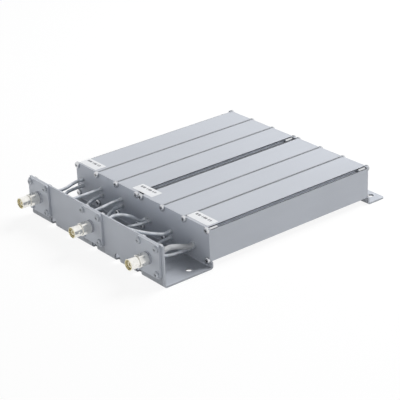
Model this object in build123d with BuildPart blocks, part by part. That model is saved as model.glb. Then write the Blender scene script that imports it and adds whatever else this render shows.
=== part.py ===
from build123d import *
import math
import os

# A cavity duplexer. Two extruded three-cell blocks stand between a folded front bracket, which
# carries three bayonet jacks and the coax leads, and a folded rear bracket, which carries the
# resonators and their tuning rods. X runs to the right seen from the jacks, Y to the back and
# Z up, in millimetres. The origin is the centre of the four mounting holes, on the underside.

# Cavity blocks
cell_count = 3
strip_width = 27.5
groove_width = 1.0
slot_width = 2.1
rim_width = 1.4
rim_drop = 1.6
block_height = 31.0
block_length = 175.5
cell_wall = 2.4
cell_roof = 1.8
channel_depth = 2.1
channel_wall = 1.1
block_gap = 1.0
block_lift = 4.3

# Screws that hold the brackets to the blocks, in the channels of the extrusion
screw_diameter = 3.0
screw_clearance = 0.1
screw_grip = 8.5
head_diameter = 5.6
head_height = 1.9
head_round = 0.9
recess_length = 2.9
recess_width = 0.7
recess_depth = 0.9

# Brackets, each folded from one sheet
sheet = 1.5
bend_radius = 1.0
bracket_margin = 1.5
bracket_shift = 0.7
shoulder_height = 6.3
bay_depth = 46.6
panel_height = 36.7
foot_depth = 18.6
corner_round = 2.0
notch_width = 7.4
notch_height = 7.5
notch_depth = 3.8

# Mounting holes in the brackets
mount_hole = 5.5
mount_margin = 9.5
front_hole_setback = 15.6
rear_hole_setback = 11.9

# Jack plates
plate_side = 29.6
plate_thickness = 2.0
plate_round = 3.0
plate_hole_pitch = 22.0
plate_drop = 0.1
plate_margin_left = 0.4
plate_margin_right = 2.9
window_diameter = 17.0
nut_across = 5.5
nut_height = 2.4
tail_length = 1.0

# Bayonet jacks
barrel_diameter = 9.7
barrel_length = 7.7
jack_reach = 19.2
groove_diameter = 8.5
groove_length = 0.9
body_across = 10.0
body_corner = 10.8
neck_length = 0.8
collar_diameter = 11.0
collar_length = 1.2
thread_diameter = 9.4
thread_clearance = 0.1
mouth_bore = 8.2
mouth_depth = 9.0
lip_chamfer = 0.3
lug_diameter = 2.0
lug_setback = 5.0
lug_span = 11.1
sleeve_diameter = 8.8
sleeve_reach = 7.5
cap_thickness = 3.0
insulator_diameter = 6.4
nose_diameter = 4.9
nose_setback = 1.3
contact_diameter = 2.2
contact_bore = 1.35
contact_bore_depth = 5.0
contact_setback = 2.0
contact_tail = 1.0
jack_nut_across = 12.7
jack_nut_height = 2.5
fit_gap = 0.05

# Coax leads
lead_diameter = 3.0
lead_seat = 2.5
lead_inside = 3.0
lead_clearance = 0.1
wall_exit = 9.0
short_exit = 6.6
jack_exit = 5.0
twin_offset = 1.9
ferrule_wall = 0.35
ferrule_length = 2.6
sleeve_wall = 0.7
ring_wall = 0.8
ring_length = 1.8
arc_share = 0.45

# Resonators, tuning rods and coupling probes
resonator_diameter = 10.0
resonator_bore = 6.0
resonator_gap = 15.9
resonator_plug = 10.0
stub_diameter = 8.0
stub_clearance = 0.1
stub_reach = 5.5
stub_nut_across = 13.0
stub_nut_height = 4.5
rod_diameter = 4.0
rod_tip = 4.0
rod_tail = 3.5
rod_slot_width = 0.8
rod_slot_depth = 1.2
rod_nut_across = 7.0
rod_nut_height = 3.2
probe_pin = 1.0
probe_stand = 5.0
probe_thickness = 0.8
probe_edge = 1.5
probe_reach = 5.0

# Worked out from the sizes above
cell_pitch = strip_width + groove_width
block_width = cell_count * strip_width + (cell_count - 1) * groove_width + 2 * (slot_width + rim_width)
body_width = 2 * block_width + block_gap
bracket_width = body_width + 2 * bracket_margin
mount_pitch_x = bracket_width - 2 * mount_margin
block_offset = (block_width + block_gap) / 2
block_middles = (-block_offset, block_offset)
block_top = block_lift + block_height
block_middle_z = block_lift + block_height / 2
mount_pitch_y = front_hole_setback + block_length + 2 * sheet + rear_hole_setback
front_face = front_hole_setback - mount_pitch_y / 2
block_front = front_face + sheet
block_back = block_front + block_length
rear_face = block_back + sheet
panel_back = front_face - bay_depth
panel_front = panel_back - sheet
foot_end = rear_face + foot_depth

screw_radius = screw_diameter / 2
screw_bore = screw_radius + screw_clearance
boss_radius = screw_bore + channel_wall
outer_channel = block_width / 2 - rim_width - slot_width / 2
inner_channels = [(i - cell_count / 2) * cell_pitch for i in range(1, cell_count)]
channel_x = [-outer_channel, *inner_channels, outer_channel]
channel_z = (block_lift + channel_depth, block_top - channel_depth)
screw_points = [(middle + x, z) for middle in block_middles for x in channel_x for z in channel_z]
notch_x = [0, *[middle + x for middle in block_middles for x in inner_channels]]
cell_offsets = [(i - (cell_count - 1) / 2) * cell_pitch for i in range(cell_count)]
cell_middles = [middle + offset for middle in block_middles for offset in cell_offsets]

jack_names = ("left", "middle", "right")
plate_front = panel_front - plate_thickness
plate_middle_z = panel_height - plate_drop - plate_side / 2
first_jack_x = bracket_shift - bracket_width / 2 + plate_margin_left + plate_side / 2
last_jack_x = bracket_shift + bracket_width / 2 - plate_margin_right - plate_side / 2
jack_x = (first_jack_x, (first_jack_x + last_jack_x) / 2, last_jack_x)
jack_mouth = plate_front - jack_reach
jack_back = panel_front + sleeve_reach
jack_nut_bore = thread_diameter / 2 + fit_gap
plate_screw_length = plate_thickness + sheet + nut_height + tail_length
plate_hole_points = [
    (x + i * plate_hole_pitch / 2, plate_middle_z + j * plate_hole_pitch / 2)
    for x in jack_x
    for i in (-1, 1)
    for j in (-1, 1)
]

lead_radius = lead_diameter / 2
lead_hole = lead_radius + lead_clearance
sleeve_radius = lead_radius + fit_gap + sleeve_wall
lead_wall_end = block_front + lead_inside
lead_jack_end = jack_back - lead_seat

cell_axes = [(x, block_middle_z) for x in cell_middles]
stub_end = rear_face + stub_reach
stub_nut_bore = stub_diameter / 2 + fit_gap
rod_bore = rod_diameter / 2 + fit_gap

# Where each lead goes through the front wall, as X from the cell's middle and Z
entries = {
    "1a": (cell_middles[0] - 9.2, 20.6),
    "1b": (cell_middles[0] - 9.2, 14.8),
    "2a": (cell_middles[1] - 8.6, 21.4),
    "2b": (cell_middles[1] - 7.8, 15.2),
    "3a": (cell_middles[2] - 8.3, 21.2),
    "3b": (cell_middles[2] - 7.5, 15.3),
    "4a": (cell_middles[3] - 9.8, 14.3),
    "4b": (cell_middles[3] - 4.8, 14.4),
    "5a": (cell_middles[4] - 4.2, 15.3),
    "5b": (cell_middles[4] - 4.6, 9.2),
    "6a": (cell_middles[5] - 8.9, 7.9),
    "6b": (cell_middles[5] - 3.4, 14.1),
}


def facing_front(y):
    """The plane across the object at y, whose positive side is the front."""
    return Plane.XZ.offset(-y)


def save(part, name):
    """Label a finished piece and write it."""
    part.label = name
    export_step(part, f"parts/{name}.step")


def make_block(name, middle):
    """An extruded block of three cells, with open screw channels along its long edges."""
    grid = block_height - 2 * channel_depth
    with BuildPart() as block:
        with BuildSketch(facing_front(block_back)):
            with Locations((middle, block_middle_z)):
                Rectangle(block_width, block_height)
                Rectangle(block_width - 2 * cell_wall, block_height - 2 * cell_roof, mode=Mode.SUBTRACT)
                with GridLocations(cell_pitch, 0, cell_count - 1, 1):
                    Rectangle(cell_wall, block_height - 2 * cell_roof)
                with GridLocations(cell_pitch, grid, cell_count - 1, 2):
                    Circle(boss_radius)
                with GridLocations(2 * outer_channel, grid, 2, 2):
                    Circle(boss_radius)
                Rectangle(block_width, block_height, mode=Mode.INTERSECT)
                with GridLocations(block_width - rim_width, block_height - rim_drop, 2, 2):
                    Rectangle(rim_width, rim_drop, mode=Mode.SUBTRACT)
                with GridLocations(2 * outer_channel, block_height - channel_depth, 2, 2):
                    Rectangle(slot_width, channel_depth, mode=Mode.SUBTRACT)
                with GridLocations(cell_pitch, block_height - channel_depth, cell_count - 1, 2):
                    Rectangle(groove_width, channel_depth, mode=Mode.SUBTRACT)
                with GridLocations(2 * outer_channel, grid, 2, 2):
                    Circle(screw_bore, mode=Mode.SUBTRACT)
                with GridLocations(cell_pitch, grid, cell_count - 1, 2):
                    Circle(screw_bore, mode=Mode.SUBTRACT)
        extrude(amount=block_length)
    save(block.part, name)


def shoulder_cuts(y):
    """What is cut from a bracket's upright above its shoulders, to the width of the blocks."""
    with BuildSketch(facing_front(y)) as cuts:
        with Locations((bracket_shift, shoulder_height)):
            Rectangle(bracket_width + 2 * sheet, panel_height, align=(Align.CENTER, Align.MIN))
        with Locations((0, shoulder_height)):
            Rectangle(body_width, panel_height, align=(Align.CENTER, Align.MIN), mode=Mode.SUBTRACT)
    return cuts.sketch


def make_front_bracket():
    """The front wall, the web under the bay and the jack panel, folded from one sheet."""
    with BuildPart() as bracket:
        with BuildSketch(Plane.YZ.offset(bracket_shift)) as fold:
            with BuildLine():
                Polyline(
                    (panel_front, panel_height),
                    (panel_front, 0),
                    (block_front, 0),
                    (block_front, block_top),
                    (front_face, block_top),
                    (front_face, sheet),
                    (panel_back, sheet),
                    (panel_back, panel_height),
                    close=True,
                )
            make_face()
            fillet(fold.vertices().group_by(Axis.Y)[1], bend_radius)
            fillet(fold.vertices().group_by(Axis.Y)[0], bend_radius + sheet)
        extrude(amount=bracket_width / 2, both=True)
        extrude(shoulder_cuts(front_face), amount=-sheet, mode=Mode.SUBTRACT)

        # Panel: clearance for each jack's nut, and holes for the plate screws
        with BuildSketch(facing_front(panel_front)):
            with Locations(*[(x, plate_middle_z) for x in jack_x]):
                Circle(window_diameter / 2)
            with Locations(*plate_hole_points):
                Circle(screw_bore)
        extrude(amount=-sheet, mode=Mode.SUBTRACT)

        # Notches in the lower fold, in line with the lower wall screws
        with BuildSketch(facing_front(panel_front)):
            with Locations(*[(x, 0) for x in notch_x]):
                Rectangle(notch_width, 2 * (notch_height - notch_width / 2))
            with Locations(*[(x, notch_height - notch_width / 2) for x in notch_x]):
                Circle(notch_width / 2)
        extrude(amount=-notch_depth, mode=Mode.SUBTRACT)

        # Wall: holes for the screws and the leads
        with BuildSketch(facing_front(front_face)):
            with Locations(*screw_points):
                Circle(screw_bore)
            with Locations(*entries.values()):
                Circle(lead_hole)
        extrude(amount=-sheet, mode=Mode.SUBTRACT)

        # Web: mounting holes
        with BuildSketch():
            with Locations((0, -mount_pitch_y / 2)):
                with GridLocations(mount_pitch_x, 0, 2, 1):
                    Circle(mount_hole / 2)
        extrude(amount=sheet, mode=Mode.SUBTRACT)
    save(bracket.part, "front_bracket")


def make_rear_bracket():
    """The rear wall and its foot, folded from one sheet."""
    with BuildPart() as bracket:
        with BuildSketch(Plane.YZ.offset(bracket_shift)) as fold:
            with BuildLine():
                Polyline(
                    (block_back, block_top),
                    (block_back, 0),
                    (foot_end, 0),
                    (foot_end, sheet),
                    (rear_face, sheet),
                    (rear_face, block_top),
                    close=True,
                )
            make_face()
            fillet(fold.vertices().group_by(Axis.Y)[1].sort_by(Axis.X)[0], bend_radius)
            fillet(fold.vertices().group_by(Axis.Y)[0].sort_by(Axis.X)[0], bend_radius + sheet)
        extrude(amount=bracket_width / 2, both=True)
        extrude(shoulder_cuts(block_back), amount=-sheet, mode=Mode.SUBTRACT)
        fillet(bracket.edges().filter_by(Axis.Z).group_by(Axis.Y)[-1], corner_round)

        # Wall: holes for the screws and for the resonators' stubs
        with BuildSketch(facing_front(block_back)):
            with Locations(*screw_points):
                Circle(screw_bore)
            with Locations(*[(x, block_middle_z) for x in cell_middles]):
                Circle(stub_diameter / 2 + stub_clearance)
        extrude(amount=-sheet, mode=Mode.SUBTRACT)

        # Foot: mounting holes
        with BuildSketch():
            with Locations((0, mount_pitch_y / 2)):
                with GridLocations(mount_pitch_x, 0, 2, 1):
                    Circle(mount_hole / 2)
        extrude(amount=sheet, mode=Mode.SUBTRACT)
    save(bracket.part, "rear_bracket")


def make_screws(name, seat_y, points, side, shank):
    """Pan-head screws through the plane seat_y, with heads to the front where side is 1."""
    with BuildPart() as screws:
        with BuildSketch(facing_front(seat_y)):
            with Locations(*points):
                Circle(head_diameter / 2)
        extrude(amount=side * head_height)
        rims = screws.edges().filter_by(GeomType.CIRCLE).group_by(Axis.Y)
        fillet(rims[0] if side > 0 else rims[-1], head_round)
        with BuildSketch(facing_front(seat_y)):
            with Locations(*points):
                Circle(screw_radius)
        extrude(amount=-side * shank)
        with BuildSketch(facing_front(seat_y - side * head_height)):
            with Locations(*points):
                Rectangle(recess_length, recess_width)
                Rectangle(recess_width, recess_length)
        extrude(amount=-side * recess_depth, mode=Mode.SUBTRACT)
    save(screws.part, name)


def make_nuts(name, seat_y, points, across, bore_radius, height):
    """Hexagon nuts on the back of the plane seat_y."""
    with BuildPart() as nuts:
        with BuildSketch(facing_front(seat_y)):
            with Locations(*points):
                RegularPolygon(across / 2, 6, major_radius=False)
                Circle(bore_radius, mode=Mode.SUBTRACT)
        extrude(amount=-height)
    save(nuts.part, name)


def make_plate(name, x):
    """A square plate that holds one jack on the panel."""
    with BuildPart() as plate:
        with BuildSketch(facing_front(panel_front)):
            with Locations((x, plate_middle_z)):
                RectangleRounded(plate_side, plate_side, plate_round)
                Circle(thread_diameter / 2 + thread_clearance, mode=Mode.SUBTRACT)
                with GridLocations(plate_hole_pitch, plate_hole_pitch, 2, 2):
                    Circle(screw_bore, mode=Mode.SUBTRACT)
        extrude(amount=plate_thickness)
    save(plate.part, name)


def jack_plane(x):
    """The upright plane through a jack's axis: along the jack and away from it."""
    return Plane(origin=(x, 0, plate_middle_z), x_dir=(0, 1, 0), z_dir=(1, 0, 0))


def jack_axis(x):
    """A jack's own axis."""
    return Axis((x, 0, plate_middle_z), (0, 1, 0))


def make_shell(name, x, lead_offsets):
    """A jack's turned shell, with its bayonet lugs and a closed back that the leads go into."""
    groove_front = jack_mouth + barrel_length
    collar_front = plate_front - collar_length
    neck_front = collar_front - neck_length
    bore_end = jack_back - cap_thickness
    with BuildPart() as shell:
        with BuildSketch(jack_plane(x)):
            with BuildLine():
                Polyline(
                    (jack_mouth, mouth_bore / 2),
                    (jack_mouth, barrel_diameter / 2 - lip_chamfer),
                    (jack_mouth + lip_chamfer, barrel_diameter / 2),
                    (groove_front, barrel_diameter / 2),
                    (groove_front, groove_diameter / 2),
                    (groove_front + groove_length, groove_diameter / 2),
                    (groove_front + groove_length, body_corner / 2),
                    (neck_front, body_corner / 2),
                    (neck_front, thread_diameter / 2),
                    (collar_front, thread_diameter / 2),
                    (collar_front, collar_diameter / 2),
                    (plate_front, collar_diameter / 2),
                    (plate_front, thread_diameter / 2),
                    (panel_front + jack_nut_height, thread_diameter / 2),
                    (panel_front + jack_nut_height, sleeve_diameter / 2),
                    (jack_back, sleeve_diameter / 2),
                    (jack_back, 0),
                    (bore_end, 0),
                    (bore_end, insulator_diameter / 2 + fit_gap),
                    (jack_mouth + mouth_depth, insulator_diameter / 2 + fit_gap),
                    (jack_mouth + mouth_depth, mouth_bore / 2),
                    close=True,
                )
            make_face()
        revolve(axis=jack_axis(x))

        # Flats along the body
        with BuildSketch(facing_front(neck_front)):
            with Locations((x, plate_middle_z)):
                Circle(body_corner)
                RegularPolygon(body_across / 2, 6, major_radius=False, mode=Mode.SUBTRACT)
        extrude(amount=neck_front - groove_front - groove_length, mode=Mode.SUBTRACT)

        # Bayonet lugs on both sides of the barrel
        with BuildSketch(Plane.YZ.offset(x - lug_span / 2)):
            with Locations((jack_mouth + lug_setback, plate_middle_z)):
                Circle(lug_diameter / 2)
        extrude(amount=lug_span)
        with BuildSketch(facing_front(jack_mouth + mouth_depth)):
            with Locations((x, plate_middle_z)):
                Circle(mouth_bore / 2)
        extrude(amount=mouth_depth, mode=Mode.SUBTRACT)

        # Holes for the leads in the closed back
        with BuildSketch(facing_front(jack_back)):
            with Locations(*[(x + offset, plate_middle_z) for offset in lead_offsets]):
                Circle(lead_hole)
        extrude(amount=cap_thickness, mode=Mode.SUBTRACT)
    save(shell.part, name)


def make_insulator(name, x):
    """A jack's insulator, with a slim nose in the mouth."""
    with BuildPart() as insulator:
        with BuildSketch(facing_front(jack_back - cap_thickness - contact_tail)):
            with Locations((x, plate_middle_z)):
                Circle(insulator_diameter / 2)
        extrude(amount=jack_back - cap_thickness - contact_tail - jack_mouth - mouth_depth)
        with BuildSketch(facing_front(jack_mouth + mouth_depth)):
            with Locations((x, plate_middle_z)):
                Circle(nose_diameter / 2)
        extrude(amount=mouth_depth - nose_setback)
        with BuildSketch(facing_front(jack_back)):
            with Locations((x, plate_middle_z)):
                Circle(contact_diameter / 2 + fit_gap)
        extrude(amount=jack_back - jack_mouth, mode=Mode.SUBTRACT)
    save(insulator.part, name)


def make_contact(name, x):
    """A jack's centre contact, bored at its front for the plug's pin."""
    front = jack_mouth + contact_setback
    back = jack_back - cap_thickness
    with BuildPart() as contact:
        with BuildSketch(facing_front(back)):
            with Locations((x, plate_middle_z)):
                Circle(contact_diameter / 2)
        extrude(amount=back - front)
        with BuildSketch(facing_front(front)):
            with Locations((x, plate_middle_z)):
                Circle(contact_bore / 2)
        extrude(amount=-contact_bore_depth, mode=Mode.SUBTRACT)
    save(contact.part, name)


def bend_radii(points):
    """Each bend's radius: the largest that its two runs allow."""
    places = [Vector(*point) for point in points]
    radii = []
    for before, here, after in zip(places, places[1:], places[2:]):
        turn = math.radians((here - before).get_angle(after - here))
        radii.append(arc_share * min((here - before).length, (after - here).length) / math.tan(turn / 2))
    return radii


def make_tube(name, points, radii, radius, bore=0):
    """A round lead or sleeve along straight runs joined by tangent arcs."""
    with BuildPart() as tube:
        with BuildLine() as path:
            FilletPolyline(*points, radius=radii)
        with BuildSketch(Plane(origin=points[0], z_dir=Vector(*points[1]) - Vector(*points[0]))):
            Circle(radius)
            if bore:
                Circle(bore, mode=Mode.SUBTRACT)
        sweep()
    length = path.wire().length
    share = tube.part.volume / (math.pi * (radius**2 - bore**2) * length)
    print(name, "length", round(length, 1), "volume share", round(share, 4), end=" ")
    print("radii", [round(bend, 1) for bend in radii])
    save(tube.part, name)


def wall_end(entry, reach=wall_exit):
    """The straight end of a lead at the front wall, from inside the cell outwards."""
    x, z = entries[entry]
    return [(x, lead_wall_end, z), (x, front_face - reach, z)]


def jack_end(index, offset=0):
    """The straight end of a lead at a jack, from the bay into the jack's back."""
    x = jack_x[index] + offset
    return [(x, jack_back + jack_exit, plate_middle_z), (x, lead_jack_end, plate_middle_z)]


def loop(first, last, *middle):
    """A lead from one cell round to the next."""
    return [*wall_end(first), *middle, *reversed(wall_end(last))]


def make_ferrules():
    """Small collars that hold the leads' braid at the front wall."""
    points = [point for entry, point in entries.items() if entry != "6b"]
    with BuildPart() as ferrules:
        with BuildSketch(facing_front(front_face)):
            with Locations(*points):
                Circle(lead_radius + fit_gap + ferrule_wall)
                Circle(lead_radius + fit_gap, mode=Mode.SUBTRACT)
        extrude(amount=ferrule_length)
    save(ferrules.part, "lead_ferrules")


def make_ring():
    """The ring round the sleeved lead at the front wall."""
    with BuildPart() as ring:
        with BuildSketch(facing_front(front_face)):
            with Locations(entries["6b"]):
                Circle(sleeve_radius + fit_gap + ring_wall)
                Circle(sleeve_radius + fit_gap, mode=Mode.SUBTRACT)
        extrude(amount=ring_length)
    save(ring.part, "sleeve_ring")


def make_resonator(name, x):
    """A quarter-wave line: a tube open at the front, whose plug and stub hold it to the rear wall."""
    open_end = block_front + resonator_gap
    with BuildPart() as resonator:
        with BuildSketch(facing_front(block_back)):
            with Locations((x, block_middle_z)):
                Circle(resonator_diameter / 2)
        extrude(amount=block_back - open_end)
        with BuildSketch(facing_front(block_back)):
            with Locations((x, block_middle_z)):
                Circle(stub_diameter / 2)
        extrude(amount=-(sheet + stub_reach))
        with BuildSketch(facing_front(open_end)):
            with Locations((x, block_middle_z)):
                Circle(resonator_bore / 2)
        extrude(amount=-(block_back - open_end - resonator_plug), mode=Mode.SUBTRACT)
        with BuildSketch(facing_front(stub_end)):
            with Locations((x, block_middle_z)):
                Circle(rod_bore)
        extrude(amount=sheet + stub_reach + resonator_plug, mode=Mode.SUBTRACT)
    save(resonator.part, name)


def make_rod(name, x):
    """A tuning rod through the resonator, slotted at its back for a screwdriver."""
    front = block_front + resonator_gap - rod_tip
    back = stub_end + rod_nut_height + rod_tail
    with BuildPart() as rod:
        with BuildSketch(facing_front(back)):
            with Locations((x, block_middle_z)):
                Circle(rod_diameter / 2)
        extrude(amount=back - front)
        with BuildSketch(facing_front(back)):
            with Locations((x, block_middle_z)):
                Rectangle(2 * rod_diameter, rod_slot_width)
        extrude(amount=rod_slot_depth, mode=Mode.SUBTRACT)
    save(rod.part, name)


def make_probe(name, first, second, x):
    """A coupling probe: two pins from the leads' ends carry a plate before the open resonator."""
    points = [entries[first], entries[second]]
    low_x = min(point[0] for point in points) - probe_edge
    low_z = min(point[1] for point in points) - probe_edge
    high_x = max(x + probe_reach, max(point[0] for point in points) + probe_edge)
    high_z = max(point[1] for point in points) + probe_edge
    with BuildPart() as probe:
        with BuildSketch(facing_front(lead_wall_end + probe_stand)):
            with Locations(*points):
                Circle(probe_pin / 2)
        extrude(amount=probe_stand)
        with BuildSketch(facing_front(lead_wall_end + probe_stand)):
            with Locations(((low_x + high_x) / 2, (low_z + high_z) / 2)):
                Rectangle(high_x - low_x, high_z - low_z)
        extrude(amount=-probe_thickness)
    save(probe.part, name)


os.makedirs("parts", exist_ok=True)
make_block("cavity_block_left", block_middles[0])
make_block("cavity_block_right", block_middles[1])
make_front_bracket()
make_rear_bracket()
make_screws("front_wall_screws", front_face, screw_points, 1, sheet + screw_grip)
make_screws("rear_wall_screws", rear_face, screw_points, -1, sheet + screw_grip)
make_screws("plate_screws", plate_front, plate_hole_points, 1, plate_screw_length)
make_nuts("plate_nuts", panel_back, plate_hole_points, nut_across, screw_bore, nut_height)

for index, side in enumerate(jack_names):
    x = jack_x[index]
    make_plate(f"jack_plate_{side}", x)
    make_shell(f"jack_shell_{side}", x, (-twin_offset, twin_offset) if side == "middle" else (0,))
    make_insulator(f"jack_insulator_{side}", x)
    make_contact(f"jack_contact_{side}", x)
    points = [(x, plate_middle_z)]
    make_nuts(f"jack_nut_{side}", panel_front, points, jack_nut_across, jack_nut_bore, jack_nut_height)

# Each lead's route, with the points between its two straight ends chosen by hand
leads = {
    "lead_jack_left_to_cell_1": [*wall_end("1a"), (-80.8, -108.5, 19), *jack_end(0)],
    "lead_cell_1_to_cell_2": loop("1b", "2a", (-80, -109, 16), (-69.5, -118, 13), (-58, -109.5, 19.6)),
    "lead_cell_2_to_cell_3": loop("2b", "3a", (-50.5, -107, 13.5), (-39, -118, 11.5), (-27.5, -111, 18.7)),
    "lead_cell_3_to_jack_middle": [*wall_end("3b"), (-15, -110.5, 16.5), *jack_end(1, -twin_offset)],
    "lead_jack_middle_to_cell_4": [
        *wall_end("4a", short_exit),
        (6.2, -102.5, 22.2),
        (2, -115.5, 25.6),
        *jack_end(1, twin_offset),
    ],
    "lead_cell_4_to_cell_5": loop("4b", "5a", (10.5, -108.5, 14.8), (16.5, -116, 18.5), (32, -106, 16.2)),
    "lead_cell_5_to_cell_6": loop("5b", "6a", (44, -110, 8), (54, -117, 7.6), (63.5, -109, 7.8)),
    "lead_cell_6_to_jack_right": [*wall_end("6b", short_exit), (72.5, -112, 21), *jack_end(2)],
}
for name, points in leads.items():
    make_tube(name, points, bend_radii(points), lead_radius)

# The sleeve covers the last lead from the wall's face to the jack's back
sleeved = leads["lead_cell_6_to_jack_right"]
start, end = sleeved[0], sleeved[-1]
sleeve_points = [(start[0], front_face, start[2]), *sleeved[1:-1], (end[0], jack_back, end[2])]
make_tube("lead_sleeve", sleeve_points, bend_radii(sleeved), sleeve_radius, lead_radius + fit_gap)
make_ferrules()
make_ring()

for index, x in enumerate(cell_middles):
    number = index + 1
    make_resonator(f"resonator_{number}", x)
    make_rod(f"tuning_rod_{number}", x)
    make_probe(f"coupling_probe_{number}", f"{number}a", f"{number}b", x)
make_nuts("resonator_nuts", rear_face, cell_axes, stub_nut_across, stub_nut_bore, stub_nut_height)
make_nuts("tuning_nuts", stub_end, cell_axes, rod_nut_across, rod_bore, rod_nut_height)
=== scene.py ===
"""Looks of a cavity duplexer, dressed round its packed construction model.

Two extruded cavity blocks stand between folded brackets. The front bracket carries three bayonet
jacks on square plates, and formed leads join the jacks to the six cells. Lengths are metres, X runs
to the right seen from the jacks, Y to the back and Z up.
"""
from __future__ import annotations

import logging
import math
from dataclasses import dataclass, field
from enum import Enum
from functools import reduce

import bmesh
import bpy
from mathutils import Matrix, Vector


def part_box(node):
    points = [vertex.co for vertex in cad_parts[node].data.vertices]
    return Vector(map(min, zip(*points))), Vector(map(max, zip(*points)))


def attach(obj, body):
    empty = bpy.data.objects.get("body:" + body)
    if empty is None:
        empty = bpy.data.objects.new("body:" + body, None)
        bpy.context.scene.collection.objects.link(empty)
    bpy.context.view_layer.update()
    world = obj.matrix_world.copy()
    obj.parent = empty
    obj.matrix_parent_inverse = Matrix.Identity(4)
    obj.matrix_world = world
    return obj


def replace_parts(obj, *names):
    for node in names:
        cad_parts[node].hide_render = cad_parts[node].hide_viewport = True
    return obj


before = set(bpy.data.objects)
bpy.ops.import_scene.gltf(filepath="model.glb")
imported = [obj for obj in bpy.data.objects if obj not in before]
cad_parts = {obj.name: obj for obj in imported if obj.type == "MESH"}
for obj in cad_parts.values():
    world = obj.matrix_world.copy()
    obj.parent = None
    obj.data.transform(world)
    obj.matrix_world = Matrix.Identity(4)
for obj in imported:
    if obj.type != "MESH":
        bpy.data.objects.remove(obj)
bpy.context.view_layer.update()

LOG = logging.getLogger("duplexer")
ROOT = "root"
SIDES = ("left", "middle", "right")
CELLS = range(1, 7)
SATIN_GREY = (0.560, 0.587, 0.640)
WHITE = (1.0, 1.0, 1.0)
ORIGIN = (0.0, 0.0, 0.0)

FINE_DETAIL = 3.0
COARSE_DETAIL = 1.0
BAND_HALF = 0.15

Colour = tuple[float, float, float]
Point = tuple[float, float, float]


class Slot(Enum):
    """Names of three finishes, which nothing in the script uses."""

    PLATE = "plate_paint"
    BRAID = "tinned_braid"
    SLEEVE = "grey_sleeve"


class Lay(Enum):
    """How a surface was worked, as the stretch of its fine lines along X, Y and Z."""

    TURNED = (0.0, 1.0, 0.0)
    DRAWN = (1.0, 0.004, 1.0)
    CAST = (1.0, 1.0, 1.0)


def rgba(colour: Colour, gain: float = 1.0) -> tuple[float, float, float, float]:
    """Gives a colour, made brighter or darker, its fourth value."""
    return (*(min(1.0, part * gain) for part in colour), 1.0)


def middle_of(node: str) -> Vector:
    """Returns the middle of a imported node's box."""
    low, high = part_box(node)
    return (low + high) / 2


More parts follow.
